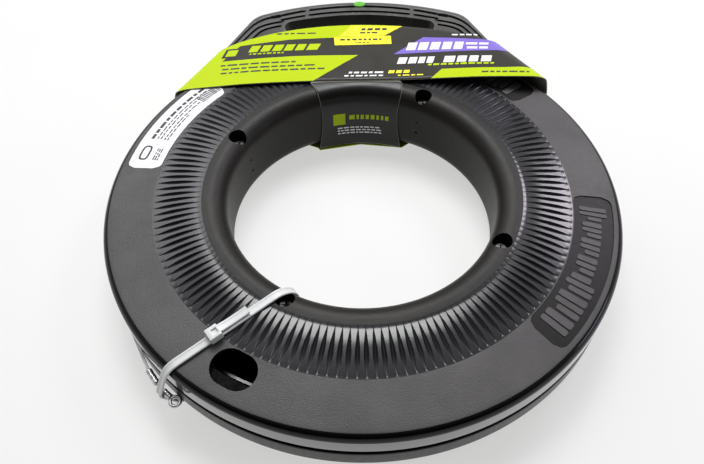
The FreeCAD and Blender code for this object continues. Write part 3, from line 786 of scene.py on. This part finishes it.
def sleeve_graphics():
    """Generic blocks, bars and wedges in the card's colours. No word, mark or number is drawn."""
    rng = random.Random(21)
    far_edge = arc_path(CARD_END_Y, CARD_END_R - 0.25, -106.0, 31.2, 40)
    lime = [[(-127.3, 91.15), (-107.0, 130.6), *far_edge[1:], (17.7, 144.6), (-18.6, 142.9), (-50, 141.4),
             (-85.4, 136.1), (-96.5, 119.0), (-45.5, 120.7), (-1.4, 120.5), (-31.6, 91.15)],
            [(47.0, 91.15), (55.1, 101.4), (95.1, 101.8), (117.0, 103.0), (126.8, 91.15)]]
    printed("sleeve_print_lime", lime, 0.06, CARD_LIME)
    heading = bars(((-79, -72.5), (-70.6, -64), (-62.2, -55.8), (-54, -47.8), (-46, -39.8), (-38, -30)),
                   127.8, 7.6, 2.4)
    printed("sleeve_print_lime_bars", heading + words(46.0, 91.0, 106.0, 2.1, rng, 0.6, 5, 1.2)
            + words(-78.0, -53.0, 124.8, 1.5, rng, 0.4, 4, 1.0), 0.08, CARD_LIME)
    printed("sleeve_print_purple",
            [[(23.3, 120.9), (45.5, 141.6), (97.3, 137.6), (104.0, 131.2), (108.5, 124.2)]],
            0.06, CARD_PURPLE)
    white = bars(((32, 38.6), (40.2, 46.6), (48.4, 55), (56.8, 63.2), (65.0, 71.2)), 125.2, 9.6, 2.6)
    white += words(74.6, 91.5, 131.0, 2.8, rng, 0.5, 8) + words(74.6, 91.5, 125.6, 2.8, rng, 0.5, 8)
    white += bars(((25, 31), (32.4, 38), (39.2, 43.6), (45, 49.6), (56.6, 64), (65.6, 72), (73.8, 80),
                   (82, 89)), 109.0, 7.6, 2.0)
    white += words(-8.0, 15.5, 98.6, 2.0, rng, 0.5, 6) + words(-11.0, 15.0, 95.2, 1.5, rng, 0.4, 5)
    white += words(66.0, 86.0, 143.6, 1.8, rng, 0.3, 6)
    printed("sleeve_print_white", white, 0.10, CARD_WHITE)
    printed("sleeve_print_yellow", bars(((18.6, 22.6), (23.8, 27.6), (28.8, 32.8)), 98.2, 3.4, 0.9)
            + words(25.0, 42.0, 95.0, 1.3, rng, 0.3, 5), 0.10, CARD_YELLOW)
    ink = []
    for x0, x1, y in ((-97.0, -42.0, 113.2), (-95.5, -31.0, 108.6), (-96.0, -24.5, 104.2)):
        ink += words(x0, x1, y, 1.7, rng, 0.3, 7, 1.4)
    ink += words(81.0, 113.0, 95.6, 1.8, rng, 0.4, 6, 1.2) + words(-60, -32, 148.2, 1.6, rng, 0.3, 7, 1.6)
    printed("sleeve_print_ink", ink, 0.10, CARD_INK)
    printed("sleeve_print_block", [bar(-97.5, -86.5, 122.6, 10.6, 2.6)], 0.12, CARD_DARK)
    printed("sleeve_print_block_face", [bar(-95.0, -87.6, 124.4, 7.0, 1.7)], 0.15, CARD_LIME)
    printed("sleeve_sticker_film_length",
            [[(-9.6, 152.0), (-6.4, 158.5), (31.0, 157.0), (17.9, 144.8), (-15.0, 144.2)]], 0.20, CARD_YELLOW,
            "sleeve_sticker_length", "sticker_yellow")
    printed("sleeve_sticker_film_stock", [[(-18.6, 143.4), (22.3, 144.2), (22.5, 133.6), (-17.8, 132.6)]],
            0.26, CARD_YELLOW, "sleeve_sticker_stock", "sticker_yellow")
    printed("sleeve_sticker_print_length", words(1.0, 19.5, 151.6, 3.0, rng, 0.6, 5, 1.4)
            + words(0.0, 13.0, 147.6, 2.0, rng, 0.4, 4, 1.1), 0.23, CARD_INK, slot="sticker_yellow")
    printed("sleeve_sticker_print_stock", words(-14.0, 17.5, 138.6, 2.2, rng, 0.0, 3.4, 1.4)
            + words(-3.0, 8.0, 135.2, 1.0, rng, 0.0, 2.6, 0.8), 0.29, CARD_INK, slot="sticker_yellow")
    block = (103.6, 97.6, -3.6, 6.4)
    tab_marks("sleeve_tab_print_lime", [block] + dash_marks(95.6, 75.4, 0.6, 4.6, rng, 3.0, 0.9), CARD_LIME)
    lines = []
    for z in (-7.4, -9.9, -12.4):
        lines += dash_marks(101.5, 79.5, z, z + 1.1, rng, 2.6, 0.6)
    tab_marks("sleeve_tab_print_white", lines, CARD_WHITE)


# ---- cable tie ----
TIE_FROM, TIE_DIR, TIE_W, TIE_T = (-41.8, -73.8), 216.6, 4.8, 1.2
TIE_HUB, TIE_RIM, TIE_NOSE = ((5.0, 12.0), 11.5), ((64.6, 9.2), 9.0), ((76.5, 0.0), 1.95)
TIE_HEAD_S, TIE_HEAD, TIE_HEAD_LEAN = 42.1, (7.0, 7.2, 4.8), 5.3
TAIL_END_S, TAIL_SWAY = 21.5, 1.2


def tangent_angle(a, ra, b, rb):
    dx, dz = b[0] - a[0], b[1] - a[1]
    return math.degrees(math.atan2(dz, dx) + math.acos((ra - rb) / math.hypot(dx, dz)))


def tie_path(offset):
    """Points (s, z) round the whole strap, offset outwards from its inner face."""
    (hub, hub_r), (rim, rim_r), (nose, nose_r) = TIE_HUB, TIE_RIM, TIE_NOSE
    top, out = tangent_angle(hub, hub_r, rim, rim_r), tangent_angle(rim, rim_r, nose, nose_r)
    upper = corner_arc(hub, hub_r + offset, 180, top, 14)
    start, end = upper[-1], corner_arc(rim, rim_r + offset, top, out, 1)[0]
    upper += [between(start, end, i / 30) for i in range(1, 30)]
    upper += corner_arc(rim, rim_r + offset, top, out, 8) + corner_arc(nose, nose_r + offset, out, 0, 8)
    return upper + [(s, -z) for s, z in upper[-2::-1]]


def tie_place(s, w, z):
    """The point s along the tie's plane, w to its side and z up."""
    return Vector((*TIE_FROM, z)) + polar(s, TIE_DIR) + polar(w, TIE_DIR + 90)


def strap(name, inner, outer, closed):
    """A strap with rounded edges and a shallow channel along its outer face."""
    half, edge, channel = TIE_W / 2, 0.35, 0.16
    right = [(half - edge, 0.0), (half, 0.25), (half, 0.72), (half - edge, 1.0), (half * 0.5, 1.0),
             (half * 0.42, 1.0 - channel)]
    section = [(-half, 0.25), (-half + edge, 0.0), *right] + [(-w, up) for w, up in right[:1:-1]]
    verts = []
    for (s0, z0), (s1, z1) in zip(inner, outer):
        verts += [tie_place(s0 + (s1 - s0) * up, w, z0 + (z1 - z0) * up) for w, up in section]
    rows, columns = len(inner), len(section)
    faces = loop_faces(rows, columns, True, True) if closed else tube_faces(rows, columns)
    obj = piece(name, verts, faces, [NYLON], "case", sharp=40, slot="nylon_natural")
    fix_normals(obj)
    return obj


def tie_top(s):
    """Height of the strap's inner face on its straight upper run."""
    return height_on(tie_path(0), s)


def cable_tie():
    obj = strap("tie_strap", tie_path(0), tie_path(TIE_T), True)
    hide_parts("cable_tie")
    inner, outer = [], []
    for i in range(25):
        t = i / 24
        s = TIE_HEAD_S - 2 + (TAIL_END_S - TIE_HEAD_S + 2) * t
        lift = TIE_T + 0.15 + 1.0 * (1 - t) ** 3 + 0.5 * t ** 3
        inner.append((s, tie_top(s) + lift))
        outer.append((s, tie_top(s) + lift + TIE_T * 0.95))
    tail = strap("tie_tail", inner, outer, False)
    for v in tail.data.vertices:
        u = (v.co - tie_place(TIE_HEAD_S, 0, 0) * MM).length / (20 * MM)
        v.co -= polar(TAIL_SWAY * MM * min(1, u) ** 2, TIE_DIR + 90)
    tie_head()


def box_mesh(size, centre):
    corners = [(x, y, z) for z in (-1, 1) for x, y in ((-1, -1), (1, -1), (1, 1), (-1, 1))]
    verts = [tuple(c + sign * d / 2 for c, sign, d in zip(centre, corner, size)) for corner in corners]
    return verts, tube_faces(2, 4)


def tie_head():
    """The locking head: a rounded block with a pawl window on top and a slot for the strap."""
    long, wide, high = TIE_HEAD
    rise = tie_top(TIE_HEAD_S) + 0.5
    verts, faces = box_mesh((long, wide, high), (0, 0, high / 2))
    head = piece("tie_head", verts, faces, [NYLON], None, smooth=False)
    window = box_mesh((long * 0.42, wide * 0.42, 2.0), (-0.8, 0, high))
    passage = box_mesh((long * 2, TIE_W + 0.3, 1.5), (0, 0, 2.4))
    cut(head, [piece("cutter", *box, [NYLON], None, smooth=False) for box in (window, passage)], sharp=None)
    middle = UP * (MID * MM)
    turn, lean = (Matrix.Rotation(math.radians(angle), 4, axis)
                  for angle, axis in ((TIE_DIR, "Z"), (TIE_HEAD_LEAN, "Y")))
    with edited(head.data) as bm:
        edges = [e for e in bm.edges if len(e.link_faces) == 2 and e.calc_face_angle() > 0.5]
        bmesh.ops.bevel(bm, geom=edges, offset=0.55 * MM, segments=3, profile=0.6, affect="EDGES",
                        clamp_overlap=True)
        for v in bm.verts:
            v.co = turn @ lean @ (v.co - middle) + tie_place(TIE_HEAD_S, 0, rise) * MM + middle
    head.data.polygons.foreach_set("use_smooth", [True] * len(head.data.polygons))
    head.data.set_sharp_from_angle(angle=math.radians(50))
    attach(head, "case")


# ---- leader ----
def axes_along(a, b):
    """A frame of unit axes: from a towards b, sideways and up."""
    ahead = (b - a).normalized()
    side = ahead.cross(UP).normalized()
    return ahead, side, side.cross(ahead)


def lathe(name, a, b, profile, node=None):
    """A turned steel piece along a to b: profile points are (distance from a, radius)."""
    axis, side, up = axes_along(a, b)
    verts, count = [], 32
    for d, r in profile:
        verts += ring(a + axis * d, side, up, r, count)
    obj = piece(name, verts, tube_faces(len(profile), count), [BRIGHT], "case", sharp=40, slot="bright_steel")
    fix_normals(obj)
    if node:
        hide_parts(node)


def barrel(length, radius, bead=0.35):
    """A crimped sleeve's profile: chamfered ends and two pressed waists."""
    out = [(0.0, radius - bead), (bead, radius)]
    for waist in (0.32, 0.68):
        for k in (-1, -0.6, 0, 0.6, 1):
            out.append((length * waist + k * 1.1, radius - 0.14 * (1 - k * k) ** 0.5))
    return out + [(length - bead, radius), (length, radius - bead)]


def leader():
    p = [Vector((x, y, 0)) for x, y in LEADER]
    lathe("leader_barrel_rear", p[0], p[1], barrel((p[1] - p[0]).length, CRIMP_R), "leader_crimp_rear")
    lathe("leader_barrel_front", p[2], p[3], barrel((p[3] - p[2]).length, CRIMP_R), "leader_crimp_front")
    strands(p[1], p[2])
    eye(p[3], p[4])


def strands(a, b):
    """The leader's cable: six wires laid round a core."""
    ahead, side, up = axes_along(a, b)
    length = (b - a).length
    wires, steps, count, wire_r, lay_r, lay_length = [], 26, 8, 0.36, 0.72, 9.0
    for k in range(7):
        verts = []
        for i in range(steps + 1):
            d = -0.5 + (length + 1.0) * i / steps
            t = 2 * math.pi * (k / 6 + d / lay_length)
            middle = a + ahead * d + (side * math.cos(t) + up * math.sin(t)) * (lay_r if k < 6 else 0.0)
            verts += ring(middle, side, up, wire_r, count)
        wires.append((verts, tube_faces(steps + 1, count)))
    obj = piece("leader_strands", *join(wires), [BRIGHT], "case", slot="bright_steel")
    fix_normals(obj)
    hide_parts("leader_cable")


def eye(base, centre):
    """The pulling eye: a rounded ring on a short neck."""
    radius, tube, count, around = 2.6, 0.98, 40, 14
    verts = []
    for out in ring(Vector(), X, Y, 1, count):
        verts += ring(centre + out * radius, out, UP, tube, around)
    faces = loop_faces(count, around, True, True)
    obj = piece("leader_eye_ring", verts, faces, [BRIGHT], "case", slot="bright_steel")
    fix_normals(obj)
    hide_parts("leader_eye")
    ahead = (centre - base).normalized()
    neck_end = centre - ahead * radius
    length = (neck_end - base).length
    if length > 0.3:
        profile = [(0, 1.0), (length * 0.5, 0.9), (length + 0.3, 1.05)]
        lathe("leader_eye_neck", base - ahead * 0.3, neck_end, profile)


# ---- tape in the slot ----
def slot_tape():
    """The tape between the handle's mouth and the tail."""
    t, w, edge = TAPE_T / 2, TAPE_W / 2, 0.2
    low = ((-t, -w + edge), (-t + edge, -w), (t - edge, -w), (t, -w + edge))
    section = low + tuple((-x, -z) for x, z in low)
    steps = 60
    verts = []
    for i in range(steps + 1):
        angle = RUN_START + (TAIL_ANGLE - RUN_START) * i / steps
        settle = min(1.0, (angle - RUN_START) / SETTLE_SWEEP)
        middle = MOUTH_R + (RUN_R - MOUTH_R) * settle * settle * (3 - 2 * settle)
        verts += [polar(middle + x, angle, z) for x, z in section]
    obj = piece("slot_tape", verts, tube_faces(steps + 1, 8), [TAPE_STEEL], None, sharp=40)
    fix_normals(obj)
    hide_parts("tape_slot_run")
    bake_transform(obj)


# ---- handle ----
HANDLE_TOP, GROOVE_W, GROOVE_D, POCKET_D = 16.0, 2.3, 1.5, 7.0
GRIP_CENTRE, SEAM_H, SEAM_D = (0.0, 150.0), 0.8, 0.5
SEAM_BRIDGE = 150.0         # the outline's one longer side bridges the gap between the feet and has no seam


def stadium(path, width):
    """A closed outline round a path, with round ends."""
    left, right = [], []
    for i, (x, y) in enumerate(path):
        x0, y0 = path[max(0, i - 1)]
        x1, y1 = path[min(len(path) - 1, i + 1)]
        d = math.hypot(x1 - x0, y1 - y0)
        nx, ny = -(y1 - y0) / d * width / 2, (x1 - x0) / d * width / 2
        left.append((x + nx, y + ny))
        right.append((x - nx, y - ny))
    def cap(end, start_point):
        a = math.degrees(math.atan2(start_point[1] - end[1], start_point[0] - end[0]))
        return corner_arc(end, width / 2, a, a - 180, 6)[1:-1]
    return left + cap(path[-1], left[-1]) + right[::-1] + cap(path[0], right[0])


def bend_path(points):
    """A smooth path that starts and ends on the first and last points and bends near the others."""
    out, steps = [], 8
    for i in range(len(points) - 2):
        a, b, c = points[i], points[i + 1], points[i + 2]
        last = i == len(points) - 3
        p, q = a if i == 0 else between(a, b, 0.5), c if last else between(b, c, 0.5)
        for t in (k / steps for k in range(steps + last)):
            out.append(between(between(p, b, t), between(b, q, t), t))
    return out


def grip_grooves():
    """The grooves in the handle's top: two along the grip, in three lengths, and three on each leg."""
    paths = []
    for centre_y, radius in ((19.8, 165.0), (-1.3, 180.0)):
        paths += [arc_path(centre_y, radius, x0, x1) for x0, x1 in ((-37, 37), (41.5, 57.5), (-57.5, -41.5))]
    for side in (-1, 1):
        for points in (((93, 136), (83.5, 155), (75.5, 168.0), (67, 171.6)),
                       ((88.5, 136), (79.5, 153.5), (72, 163.6), (57.0, 167.2)),
                       ((83.5, 136), (76, 150.5), (69.5, 159.2), (58.5, 161.8))):
            path = bend_path([(side * x, y) for x, y in points])
            paths.append(path if side < 0 else path[::-1])
    return paths


def parting_groove(mesh):
    """Draws in the upper half's lower outer edge, which leaves a groove where the handle's halves meet."""
    with edited(mesh) as bm:
        cut_plane(bm, (0, 0, (MID + SEAM_H) * MM), UP)
        low = [v for v in bm.verts if v.co.z / MM - MID < 0.01]
        hull = [low[i].co.xy / MM for i in convex_hull_2d([v.co.xy for v in low])]
        edges = []
        for a, b in zip(hull, hull[1:] + hull[:1]):
            if 0 < (b - a).length < SEAM_BRIDGE:
                out = Vector((b.y - a.y, a.x - b.x)).normalized()
                edges.append((a, b, -out if out.dot(a - Vector(GRIP_CENTRE)) < 0 else out))
        for v in low:
            point = v.co.xy / MM
            near = [out for a, b, out in edges if abs((point - a).dot(out)) < 0.02
                    and -0.02 < (point - a).dot((b - a).normalized()) < (b - a).length + 0.02]
            if near:
                v.co.xy = (point - sum(near, Vector((0, 0))).normalized() * SEAM_D) * MM


def handle_top():
    obj = placed("grip_top_moulding", NODES["handle_top_half"].data.copy())
    obj.data.materials.clear()
    for material in (HANDLE_SKIN, GROOVE_PAINTED_SHADE):
        obj.data.materials.append(material)
    parting_groove(obj.data)
    # Groove and pocket walls get material 1, painted shade.
    cutters = [prism(stadium(path, GROOVE_W), HANDLE_TOP - GROOVE_D, HANDLE_TOP + 4, 1)
               for path in grip_grooves()]
    for side in (-1, 1):
        pocket = stadium([(side * 59.8, 173.6), (side * 65.4, 172.2)], 3.4)
        cutters.append(prism(pocket, HANDLE_TOP - POCKET_D, HANDLE_TOP + 4, 1))
    cut(obj, cutters, sharp=28)
    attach(obj, "handle")
    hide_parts("handle_top_half")


# ---- floor, lights and camera ----
def stage_floor():
    mat, shader = new_material("floor_white", [FLOOR_ALBEDO] * 3, 0.6)
    socket(shader, "Emission Color", (1.0, 1.0, 0.985, 1))
    socket(shader, "Emission Strength", FLOOR_GLOW)
    mat.node_tree.links.new(remap(mat, noise(mat, 8, 3), 0.5, 0.6), shader.inputs["Roughness"])
    verts = []
    for i in range(COVE_STEPS + 1):
        a = math.pi / 2 * i / COVE_STEPS
        radius, z = FLOOR_R + COVE_H * math.sin(a), COVE_H * (1 - math.cos(a))
        verts += [polar(radius, 360 * k / FLOOR_SIDES, z) for k in range(FLOOR_SIDES)]
    faces = [tuple(range(FLOOR_SIDES))] + loop_faces(COVE_STEPS + 1, FLOOR_SIDES, False, True)
    mesh = bpy.data.meshes.new("floor")
    mesh.from_pydata(verts, [], faces)
    mesh.polygons.foreach_set("use_smooth", [face.index > 0 for face in mesh.polygons])
    mesh.materials.append(mat)
    floor = placed("floor", mesh)


def area_light(name, azimuth, elevation, size, power, color=(1, 1, 1)):
    """A soft box aimed at the reel; azimuth is counted from +X towards +Y."""
    data = bpy.data.lights.new(name, "AREA")
    data.shape, data.size, data.size_y = "RECTANGLE", size[0], size[1]
    data.energy, data.color = power, color
    obj = placed(name, data)
    e = math.radians(elevation)
    outward = polar(math.cos(e), azimuth, math.sin(e))
    obj.location = outward * LIGHT_DISTANCE
    obj.rotation_mode = "QUATERNION"
    obj.rotation_quaternion = (-outward).to_track_quat("-Z", "Y")


def studio_world():
    """A dim room: bright behind and above the reel, dark behind the camera."""
    world = bpy.data.worlds.new("studio")
    bpy.context.scene.world = world
    world.use_nodes = True
    links = world.node_tree.links
    coords, split = add_node(world, "TexCoord"), add_node(world, "SeparateXYZ")
    ramp = add_node(world, "MapRange", From_Min=-0.75, From_Max=0.35, To_Min=WORLD_DIM, To_Max=WORLD_BRIGHT)
    ramp.interpolation_type = "SMOOTHSTEP"
    links.new(coords.outputs["Generated"], split.inputs[0])
    links.new(split.outputs["Y"], ramp.inputs["Value"])
    background = world.node_tree.nodes["Background"]
    socket(background, "Color", (0.96, 0.98, 1.0, 1))
    links.new(ramp.outputs["Result"], background.inputs["Strength"])


def lights():
    studio_world()
    area_light("window_back", 93, 61, (0.85, 0.75), BACK_POWER)
    area_light("window_right", 46, 41, (0.45, 0.42), RIGHT_POWER, (0.98, 0.90, 1.0))
    area_light("window_left", 127, 42, (0.9, 0.8), LEFT_POWER, (0.97, 0.97, 1.0))
    area_light("window_rim", -3, 20, (0.6, 0.25), RIM_POWER, (0.78, 0.76, 1.0))
    view = bpy.context.scene.view_settings
    view.view_transform, view.look = "Standard", "None"


def camera():
    """The photograph's viewpoint: above the near side, looking down at the hub."""
    data = bpy.data.cameras.new("camera")
    data.sensor_width, data.lens = SENSOR, LENS
    cam = placed("camera", data)
    cam.location = (-0.0032, -0.2720, 0.3353 + MID * MM)
    pitch, yaw, roll = (math.radians(a) for a in (52.80, -0.65, -0.96))
    ahead = Vector((math.sin(yaw) * math.cos(pitch), math.cos(yaw) * math.cos(pitch), -math.sin(pitch)))
    right = Vector((math.cos(yaw), -math.sin(yaw), 0))
    up = right.cross(ahead)
    right, up = (math.cos(roll) * right + math.sin(roll) * up), (math.cos(roll) * up - math.sin(roll) * right)
    cam.rotation_mode = "QUATERNION"
    cam.rotation_quaternion = Matrix((right, up, -ahead)).transposed().to_quaternion()
    bpy.context.scene.camera = cam


def paint_cad(material, *names):
    """Gives CAD nodes that keep their own mesh a finished material."""
    for name in names:
        slots = NODES[name].data.materials
        slots.clear()
        slots.append(material)


camera()
stage_floor()
lights()
top_shell()
bottom_shell()
boss_cups()
panel_strokes()
label()
sleeve_mesh()
sleeve_tab()
sleeve_foot()
sleeve_graphics()
cable_tie()
leader()
slot_tape()
handle_top()
# The coil gets the painted shade steel.
paint_cad(COIL_PAINTED_SHADE, "tape_coil")
# The inner lead gets the darker painted shade steel.
paint_cad(LEAD_STEEL_PAINTED_SHADE, "tape_inner_lead")
paint_cad(TAPE_STEEL, "tape_tail", "tape_feed", "anchor_rivet")
paint_cad(SCREW_BLACK, "case_screws", "handle_screws", "tape_anchor")
paint_cad(BRIGHT, "tape_guide")
paint_cad(NYLON, "runner_shoe_right", "runner_shoe_left")
paint_cad(HANDLE_SKIN, "handle_bottom_half")
paint_cad(BADGE_GREEN, "handle_badge")
